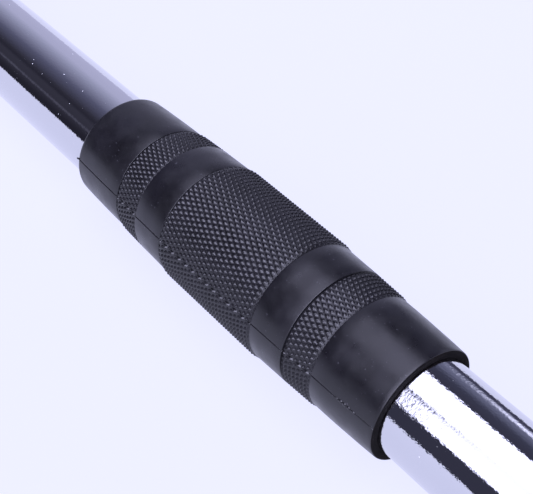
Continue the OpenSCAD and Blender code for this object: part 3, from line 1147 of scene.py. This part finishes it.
@dataclass
class HeadRing:
    """The moulded ring that drops over the ball, with its socket for the pole.

    Attributes:
        bore: Radius of the ball's way in.
        wall: Thickness of the wall.
        height: Height of the wall.
        lip: How far the lip on the ground stands out.
        pivot: Place of the catches' pins.
        sill: Height of the windows' lower edge.
        boss: Radius of the bosses that hold the hoops' feet.
        socket: Radius of the socket.
        socket_length: Length of the socket.
        socket_depth: Depth of its bore.
        socket_bore: Radius of its bore.
        edge: Rounding of the windows' edges.
    """

    bore: float = 24.0
    wall: float = 4.0
    height: float = 20.0
    lip: float = 0.8
    pivot: Pivot = field(default_factory=Pivot)
    sill: float = 6.5
    boss: float = 3.3
    socket: float = 8.5
    socket_length: float = 31.0
    socket_depth: float = 24.0
    socket_bore: float = 5.42
    edge: float = 0.5

    def build(self) -> Piece:
        """Builds the ring, its bosses, cheeks, lugs, web and socket as one moulding."""
        bm = self.ring()
        for turn in range(45, 360, 90):
            pour(bm, self.boss_at(math.radians(turn)))
        for side in Side:
            flip = Matrix.Diagonal((1, side.value, 1, 1))
            for start in (self.pivot.window, -self.pivot.window - self.pivot.cheek):
                pour(bm, self.cheek(), flip @ Matrix.Translation((start, 0, 0)))
            pour(bm, self.stop_lug(), flip)
        pour(bm, self.web())
        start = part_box("head_ring")[0].x / MM - HEAD_X
        pour(bm, self.socket_tube(), Matrix.Translation((start, 0, AXIS_Z)))
        return finish_piece(bm, "head_ring", HEAD_PLASTIC, Body.HEAD, (HEAD_X, 0, 0))

    def ring(self) -> Solid:
        """The wall with a window for each catch."""
        outer = self.bore + self.wall
        outline: Outline = [
            (0.0, self.bore + 1.6, 0.3), (0.0, outer + self.lip - 0.6, 0.0), (0.6, outer + self.lip, 0.3),
            (3.2, outer + self.lip, 0.4), (4.4, outer, 0.5), (self.height, outer, 0.9),
            (self.height, self.bore, 0.9), (4.0, self.bore, 0.8),
        ]
        bm = revolve(outline, 240)
        put(bm, ALONG_Z)
        half = self.pivot.window
        split_at(bm, (half, 0, 0), (1, 0, 0))
        split_at(bm, (-half, 0, 0), (1, 0, 0))
        split_at(bm, (0, 0, self.sill), (0, 0, 1))
        middles = [(f, f.calc_center_median()) for f in bm.faces]
        opened = [f for f, middle in middles if abs(middle.x) < half and middle.z > self.sill]
        bmesh.ops.delete(bm, geom=opened, context="FACES")
        for side in Side:
            self.line_window(bm, side.value)
        face_outwards(bm)
        return bm

    def line_window(self, bm: Solid, sign: int) -> None:
        """Closes a window's two sides and its sill, and rounds their edges.

        Args:
            bm: The ring's mesh.
            sign: Side of the window.
        """
        near = 1e-3
        half = self.pivot.window
        rim = [e for e in bm.edges if e.is_boundary and e.verts[0].co.y * sign > 0]
        jambs = []
        for x in (-half, half):
            edges = [e for e in rim if all(abs(v.co.x - x) < near for v in e.verts)]
            low = {v for e in edges for v in e.verts if abs(v.co.z - self.sill) < near}
            corners = sorted(low, key=lambda v: abs(v.co.y))
            foot = bm.edges.new((corners[0], corners[-1]))
            bmesh.ops.contextual_create(bm, geom=[*edges, foot])
            jambs.append((edges, foot))
        sills = [e for e in rim if all(abs(v.co.z - self.sill) < near for v in e.verts)]
        bmesh.ops.contextual_create(bm, geom=[*sills, *(foot for _, foot in jambs)])
        bevel(bm, sills + [e for edges, _ in jambs for e in edges], self.edge, 2)

    def boss_at(self, turn: float) -> Solid:
        """A boss round a hoop's foot, cut flush with the bore.

        Args:
            turn: Its angle round the ring, in radians.

        Returns:
            The boss.
        """
        top = self.height + 1.5
        foot: Outline = [
            (0.8, 0.0, 0.0), (0.8, self.boss, 0.3), (top, self.boss, 0.8), (top, 1.9, 0.3),
            (top - 0.7, 1.52, 0.0), (top - 0.7, 0.0, 0.0),
        ]
        bm = revolve(foot, 64, closed=False)
        middle = self.bore + self.wall / 2
        bmesh.ops.subdivide_edges(bm, edges=[e for e in bm.edges if e.calc_length() > 5], cuts=12)
        put(bm, Matrix.Rotation(turn, 4, "Z") @ Matrix.Translation((middle, 0, 0)) @ ALONG_Z)
        for v in bm.verts:
            reach = v.co.xy.length
            limit = self.bore + 0.02
            if reach < limit:
                v.co.xy *= limit / reach
        return bm

    def cheek(self) -> Solid:
        """A cheek that carries the pin, from x = 0."""
        p = self.pivot
        cap = 3.1
        turns = [math.radians(a) for a in range(0, 181, 15)]
        arch = [(p.y + cap * math.cos(a), p.z + cap * math.sin(a)) for a in turns]
        foot = [(self.bore - 0.8, 3.2), (self.bore + self.wall + 1.1, 3.2), (p.y + cap, 4.2)]
        bm = prism([*foot, *arch[:-1], (p.y - cap + 0.1, p.z)], p.cheek, 0.35)
        put(bm, ACROSS)
        return bm

    def stop_lug(self) -> Solid:
        """The lug under a catch's finger."""
        start, width = -5.7, 8.0
        outline = [
            (22.3, self.sill - 2), (25.2, self.sill - 2), (25.2, 10.1), (23.7, 11.0), (23.3, 11.5),
            (22.3, 11.5),
        ]
        bm = prism(outline, width, 0.25)
        put(bm, Matrix.Translation((start, 0, 0)) @ ACROSS)
        return bm

    def web(self) -> Solid:
        """The web that spreads the socket's load into the ring."""
        outer = self.bore + self.wall
        inside = outer - 1.5
        arc = [math.radians(180 + a) for a in range(39, -40, -6)]
        back = [(inside * math.cos(a), inside * math.sin(a)) for a in arc]
        tail = -outer - 10
        half = self.socket - 1
        thickness = 5.0
        bm = prism([(tail, half), (tail, -half), (-21.6, -17.8), *back, (-21.6, 17.8)], thickness, 0.6)
        shift(bm, (0, 0, AXIS_Z - thickness / 2))
        return bm

    def socket_tube(self) -> Solid:
        """The socket from x = 0, with a belled mouth and three shallow moulded rings."""
        r = self.socket
        outline: Outline = [
            (0.6, self.socket_bore, 0.3), (0.0, self.socket_bore + 0.7, 0.2),
            (0.0, r - 1, 0.4), (1.0, r, 0.6),
        ]
        for at in (5.0, 7.5, 10.0):
            for way, radius in ((-0.5, r), (-0.2, r - 0.3), (0.2, r - 0.3), (0.5, r)):
                outline.append((at + way, radius, 0.15))
        end, deep = self.socket_length, self.socket_depth
        outline += [(end, r, 0.5), (end, 0.0, 0.0), (deep, 0.0, 0.0), (deep, self.socket_bore, 0.0)]
        return revolve(outline, 128)


@dataclass
class WireHoop:
    """A bent wire hoop over the ball, with straight legs down into the ring.

    Attributes:
        node: Its CAD node.
        turn: Angle of its plane, in degrees.
        bend: Height where its legs start to bend.
        reach: Distance of its legs from the middle.
        wire: Radius of the wire.
        foot: Height of its ends.
        welded: Whether it carries the weld that joins the hoops.
    """

    node: str
    turn: float
    bend: float
    reach: float = 26.0
    wire: float = 1.5
    foot: float = 8.0
    welded: bool = False

    def build(self) -> Piece:
        """Builds the hoop."""
        rise = self.bend - self.foot
        bow = {"cent": (0, 0, self.bend), "axis": (0, -1, 0), "angle": math.pi, "steps": 72}
        bm = bent_wire(self.wire, 32, (self.reach, 0, self.foot), rise, bow, (0, 0, -rise))
        if self.welded:
            weld: Outline = [
                (-0.75, 0.0, 0.0), (-0.6, 1.35, 0.5), (0.0, 1.6, 0.5), (0.6, 1.35, 0.5), (0.75, 0.0, 0.0),
            ]
            top = self.bend + self.reach - self.wire
            pour(bm, revolve(weld, 32, closed=False), Matrix.Translation((0, 0, top)) @ ALONG_Z)
        turn = Matrix.Rotation(math.radians(self.turn), 3, "Z")
        bmesh.ops.rotate(bm, cent=(0, 0, 0), matrix=turn, verts=bm.verts[:])
        return finish_piece(bm, self.node, STAINLESS, Body.HEAD, (HEAD_X, 0, 0))


@dataclass
class Catch:
    """A sprung catch: a finger under the ball, a barrel on the pin and a ribbed thumb tab.

    Attributes:
        side: Its side of the head.
        pivot: Place of its pin.
        half: Half of its width.
        barrel: Radius of the barrel.
        barrel_end: Where the barrel stops, beside the spring.
        plate: Thickness of the finger and the tab.
        finger: How far the finger reaches in.
        tab: How far the tab reaches out.
        rise: Slope of the tab, in degrees.
        running_fit: Gap between the barrel and the pin.
        edge: Rounding of the plates' edges.
    """

    side: Side
    pivot: Pivot = field(default_factory=Pivot)
    half: float = 6.7
    barrel: float = 2.2
    barrel_end: float = 2.7
    plate: float = 2.4
    finger: float = 10.0
    tab: float = 11.0
    rise: float = 15.0
    running_fit: float = 0.05
    edge: float = 0.55

    def build(self) -> Piece:
        """Builds the catch."""
        name = self.side.name.lower() + "_catch"
        bore = self.pivot.pin + self.running_fit
        bm = revolve([
            (-self.half, bore, 0.15), (-self.half, self.barrel, 0.3),
            (self.barrel_end, self.barrel, 0.3), (self.barrel_end, bore, 0.15),
        ], 64)
        pour(bm, self.finger_plate())
        pour(bm, self.thumb_tab(), Matrix.Rotation(math.radians(self.rise), 4, "X"))
        shift(bm, (0, self.pivot.y, self.pivot.z))
        take_side(bm, self.side)
        return finish_piece(bm, name, CATCH_PLASTIC, Body[name.upper()], (HEAD_X, 0, 0))

    def finger_plate(self) -> Solid:
        """The finger, with its tip rounded in plan and its edges rounded."""
        corner = 2.2
        tip = -self.finger
        left = [
            (-self.half + corner - corner * math.cos(a), tip + corner - corner * math.sin(a)) for a in QUARTER
        ]
        right = [(-x, y) for x, y in reversed(left)]
        step = -self.barrel - 0.4
        root = [(self.half, step), (self.barrel_end, step), (self.barrel_end, -1.3), (-self.half, -1.3)]
        bm = prism([*left, *right, *root], self.plate, self.edge)
        shift(bm, (0, 0, -self.plate / 2))
        return bm

    def thumb_tab(self) -> Solid:
        """The tab that a thumb pushes down to free the ball, with ribs for grip."""
        corner = 2.0
        low, high = -self.half + 1, self.barrel_end
        top = self.tab - corner
        right = [(high - corner + corner * math.cos(a), top + corner * math.sin(a)) for a in QUARTER]
        left = [(low + corner - corner * math.sin(a), top + corner * math.cos(a)) for a in QUARTER]
        bm = prism([(low, 1.3), (high, 1.3), *right, *left], self.plate, self.edge)
        shift(bm, (0, 0, -self.plate / 2))
        for i in range(5):
            size = (high - low - 2.2, 0.55, 0.7)
            pour(bm, rounded_block(size, ((low + high) / 2, 4.0 + 1.25 * i, self.plate / 2), 0.2))
        return bm


@dataclass
class PivotPin:
    """A headed pin through both cheeks, spread at its tail.

    Attributes:
        side: Its side of the head.
        pivot: Its place.
        head: Radius of its head.
        head_height: Height of its head.
    """

    side: Side
    pivot: Pivot = field(default_factory=Pivot)
    head: float = 1.9
    head_height: float = 1.0

    def build(self) -> Piece:
        """Builds the pin."""
        r = self.pivot.pin
        face = self.pivot.window + self.pivot.cheek
        top = face + self.head_height
        bm = revolve([
            (-face - 0.4, 0.0, 0.0), (-face - 0.4, r - 0.25, 0.1), (-face - 0.1, r, 0.1), (face, r, 0.0),
            (face, self.head, 0.15), (face + 0.5 * self.head_height, self.head, 0.3),
            (top, 0.55 * self.head, 0.4), (top, 0.0, 0.0),
        ], 48, closed=False)
        at = (HEAD_X, self.side.value * self.pivot.y, self.pivot.z)
        return finish_piece(bm, self.side.name.lower() + "_pin", STAINLESS, Body.HEAD, at)


@dataclass
class TorsionSpring:
    """A torsion spring round a pin: one leg presses on the finger, the other stands on the sill.

    Attributes:
        side: Its side of the head.
        pivot: Place of its pin.
        wire: Radius of the wire.
        coil: Radius of the coil, to the wire's middle.
        start: Where the coil starts, from the head's middle.
        end: Where it ends.
        turns: Turns of the coil.
        foot: Height of the standing leg's end.
        reach: Length of the leg on the finger.
    """

    side: Side
    pivot: Pivot = field(default_factory=Pivot)
    wire: float = 0.35
    coil: float = 1.65
    start: float = 3.45
    end: float = 6.05
    turns: float = 3.25
    foot: float = 6.6
    reach: float = 7.0

    def build(self) -> Piece:
        """Builds the spring."""
        p = self.pivot
        steps = round(self.turns * 32)
        bow = {
            "cent": (0, p.y, p.z), "axis": (1, 0, 0), "dvec": ((self.end - self.start) / steps, 0, 0),
            "angle": math.tau * self.turns, "steps": steps,
        }
        foot = (self.start, p.y + self.coil, self.foot)
        bm = bent_wire(self.wire, 12, foot, p.z - self.foot, bow, (0, -self.reach, 0))
        take_side(bm, self.side)
        name = self.side.name.lower() + "_spring"
        return finish_piece(bm, name, SPRING_STEEL, Body.HEAD, (HEAD_X, 0, 0))


@dataclass
class NeckRivet:
    """The rivet across the socket that holds the fourth tube and its plug.

    Attributes:
        radius: Radius of the shank.
        head: Radius of the heads.
        height: Height of the heads.
        socket: Radius of the socket under them.
    """

    radius: float = 1.5
    head: float = 3.0
    height: float = 1.2
    socket: float = 8.5

    def build(self) -> Piece:
        """Builds the rivet with two domed heads."""
        low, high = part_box("neck_rivet")
        top, seat = self.socket + self.height, self.socket - 0.1
        half: Outline = [
            (top, 0.0, 0.0), (top, 0.45 * self.head, 0.5),
            (self.socket + 0.55 * self.height, 0.85 * self.head, 0.4),
            (seat, self.head, 0.1), (seat, self.radius, 0.0),
        ]
        bm = revolve(half + [(-x, r, c) for x, r, c in reversed(half)], 48, closed=False)
        put(bm, ALONG_Y)
        return finish_piece(bm, "neck_rivet", STAINLESS, Body.HEAD, ((low.x + high.x) / 2 / MM, 0, AXIS_Z))


class Head:
    """The ring, the hoops over it and the two sprung catches."""

    def build(self) -> None:
        """Builds every piece of the head."""
        HeadRing().build()
        WireHoop("lower_hoop", 45.0, 26.0).build()
        WireHoop("upper_hoop", 135.0, 28.9, welded=True).build()
        NeckRivet().build()
        for side in Side:
            Catch(side).build()
            PivotPin(side).build()
            TorsionSpring(side).build()


# ---------------------------------------------------------------- the studio


@dataclass(frozen=True)
class Panel:
    """A light panel overhead that runs along the pole, placed by direction.

    Attributes:
        span: Angles round the X axis between which it lies, in degrees from +Y.
        begins: X of the direction where it starts to show and where it is full.
        ends: X of the direction where it starts to fade and where it is gone.
        glow: Its radiance.
        soft: Softness of its long edges, in degrees.
    """

    span: Pair
    begins: Pair
    ends: Pair
    glow: float
    soft: float = 1.5


@dataclass
class Studio:
    """A pale light table, light panels overhead and the camera.

    Attributes:
        azimuth: Direction the camera looks from, in degrees.
        elevation: Its height over the horizon, in degrees.
        distance: From the middle grip's centre, in millimetres.
        aside: Camera's offset to its right and up, in millimetres.
        lens: Focal length on a 36 mm sensor.
        floor_glow: Strength of the table's own light.
        tint: Colour that the whole world's light is multiplied by.
        table_tint: Colour of the table's own light.
        backdrop: Colour that the camera sees behind everything.
        panels: The light panels, each laid over the ones before it.
    """

    azimuth: float = 51.1
    elevation: float = 43.6
    distance: float = 245.7
    aside: Pair = (2.1, 3.2)
    lens: float = 79.4
    floor_glow: float = 0.905
    tint: Point = (1.0, 1.0, 1.38)
    table_tint: Colour = (0.87, 0.885, 1.2, 1.0)
    backdrop: Colour = (0.88, 0.89, 1.0, 1.0)
    panels: tuple[Panel, ...] = (
        Panel((66, 111.5), (-0.56, -0.52), (0.4, 0.5), 2.1, 1.0),
        Panel((117.5, 147.5), (-0.335, -0.245), (0.4, 0.5), 2.1, 1.0),
        Panel((109, 120), (-0.28, -0.22), (0.4, 0.5), 1.5, 1.5),
        Panel((14, 22.5), (-0.31, -0.2), (0.3, 0.5), 1.6, 2.0),
        Panel((80, 165), (-0.02, 0.06), (0.4, 0.5), 8.0, 4.0),
    )

    def build(self) -> None:
        """Sets the stage."""
        bpy.context.scene.view_settings.view_transform = "Standard"
        self.camera()
        self.floor()
        self.world()

    def camera(self) -> None:
        """Places the camera close to the middle grip."""
        a, e = math.radians(self.azimuth), math.radians(self.elevation)
        back = Vector((math.sin(a) * math.cos(e), -math.cos(a) * math.cos(e), math.sin(e)))
        right = Vector((math.cos(a), math.sin(a), 0))
        up = back.cross(right)
        low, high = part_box("mid_grip")
        data = bpy.data.cameras.new("camera")
        data.lens = self.lens
        data.sensor_width = 36.0
        data.clip_start = 0.01
        camera = bpy.data.objects.new("camera", data)
        bpy.context.scene.collection.objects.link(camera)
        centre = (low + high) / 2
        camera.location = centre + (self.aside[0] * right + self.aside[1] * up + self.distance * back) * MM
        camera.rotation_euler = back.to_track_quat("Z", "Y").to_euler()
        bpy.context.scene.camera = camera

    def floor(self) -> None:
        """Lays a wide pale table that glows a little, so that shadows on it stay faint."""
        bm = bmesh.new()
        bmesh.ops.create_circle(bm, cap_ends=True, radius=6.0, segments=96)
        mesh = bpy.data.meshes.new("light_table")
        bm.to_mesh(mesh)
        bm.free()
        made = bpy.data.materials.new("opal acrylic table")
        made.use_nodes = True
        shader = made.node_tree.nodes["Principled BSDF"]
        shader.inputs["Base Color"].default_value = linear("#3a3b40")
        shader.inputs["Roughness"].default_value = 0.9
        shader.inputs["Specular IOR Level"].default_value = 0.1
        shader.inputs["Emission Color"].default_value = self.table_tint
        shader.inputs["Emission Strength"].default_value = self.floor_glow
        mesh.materials.append(made)
        table = bpy.data.objects.new("light_table", mesh)
        bpy.context.scene.collection.objects.link(table)

    def world(self) -> None:
        """Lights the scene: a paler wall behind, a dark ceiling in front and the panels overhead."""
        world = bpy.data.worlds.new("studio")
        bpy.context.scene.world = world
        world.use_nodes = True
        tree = world.node_tree
        tree.nodes.clear()
        way = add_node(tree, "ShaderNodeTexCoord").outputs["Generated"]
        parts = add_node(tree, "ShaderNodeSeparateXYZ", Vector=way).outputs
        turn = math_node(tree, "ARCTAN2", parts["Z"], parts["Y"])
        share = remap(tree, turn, 0.0, math.pi, 0.0, 1.0)
        wall = ramp(tree, share, [
            (0.0, "#cacad0"), (0.2, "#c6c6cc"), (0.3, "#abadb3"), (0.4, "#8c8d95"),
            (0.5, "#62636e"), (0.6, "#4a4a52"), (0.66, "#38373b"), (0.7, "#2f2e33"), (0.74, "#3d3c40"),
            (0.82, "#3b3a3e"), (0.84, "#5b5a5e"), (0.86, "#38373b"), (0.93, "#2b2a2e"), (1.0, "#28272b"),
        ])
        near = remap(tree, parts["X"], -0.56, -0.48, 0.0, 1.0)
        front = ramp(tree, share, [
            (0.0, "#4a4a54"), (0.05, "#4a4a54"), (0.1, "#84868f"), (0.18, "#6c6e78"),
            (0.25, "#45464f"), (0.33, "#404048"), (0.9, "#3c3c43"), (1.0, "#3c3c43"),
        ])
        lit = mix(tree, near, wall, front)
        for panel in self.panels:
            lit = mix(tree, self.mask(tree, turn, parts["X"], panel), lit, (*[panel.glow] * 3, 1.0))
        tinted = add_node(tree, "ShaderNodeVectorMath", {"operation": "MULTIPLY", 1: self.tint}, in_0=lit)
        light = add_node(tree, "ShaderNodeBackground", Color=tinted.outputs[0]).outputs[0]
        seen = add_node(tree, "ShaderNodeBackground", {"Color": self.backdrop}).outputs[0]
        eye = add_node(tree, "ShaderNodeLightPath").outputs["Is Camera Ray"]
        mixed = add_node(tree, "ShaderNodeMixShader", in_0=eye, in_1=light, in_2=seen)
        add_node(tree, "ShaderNodeOutputWorld", Surface=mixed.outputs[0])

    def mask(self, tree: Tree, turn: Socket, along: Socket, panel: Panel) -> Socket:
        """Mask of a light panel that runs along the pole.

        Args:
            tree: The world's node tree.
            turn: Angle of the direction round the X axis.
            along: X of the direction.
            panel: The panel.

        Returns:
            The mask's socket.
        """
        low, high, soft = (math.radians(a) for a in (*panel.span, panel.soft))
        enters = remap(tree, turn, low - soft, low + soft, 0.0, 1.0)
        leaves = remap(tree, turn, high - soft, high + soft, 1.0, 0.0)
        begins = remap(tree, along, *panel.begins, 0.0, 1.0)
        ends = remap(tree, along, *panel.ends, 1.0, 0.0)
        across = math_node(tree, "MULTIPLY", enters, leaves)
        return math_node(tree, "MULTIPLY", across, math_node(tree, "MULTIPLY", begins, ends))


def dress_hidden_pieces() -> None:
    """Gives the CAD pieces inside the pole their finishes."""
    stages = ("second", "third", "fourth")
    finishes = {f"{s}_shoe": SHOE_BRASS for s in stages} | {f"{s}_stop": STOP_NYLON for s in stages}
    finishes["neck_plug"] = PLUG_ALUMINIUM
    for name, finish in finishes.items():
        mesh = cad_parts[name].data
        mesh.materials.clear()
        mesh.materials.append(finish.material())
        LOG.info("%s: dressed as %s", name, finish.title)


def main() -> None:
    """Builds the studio, then the pole, then the head."""
    logging.basicConfig(level=logging.INFO, format="%(name)s: %(message)s")
    Studio().build()
    Pole().build()
    Head().build()
    dress_hidden_pieces()


if __name__ == "__main__":
    main()
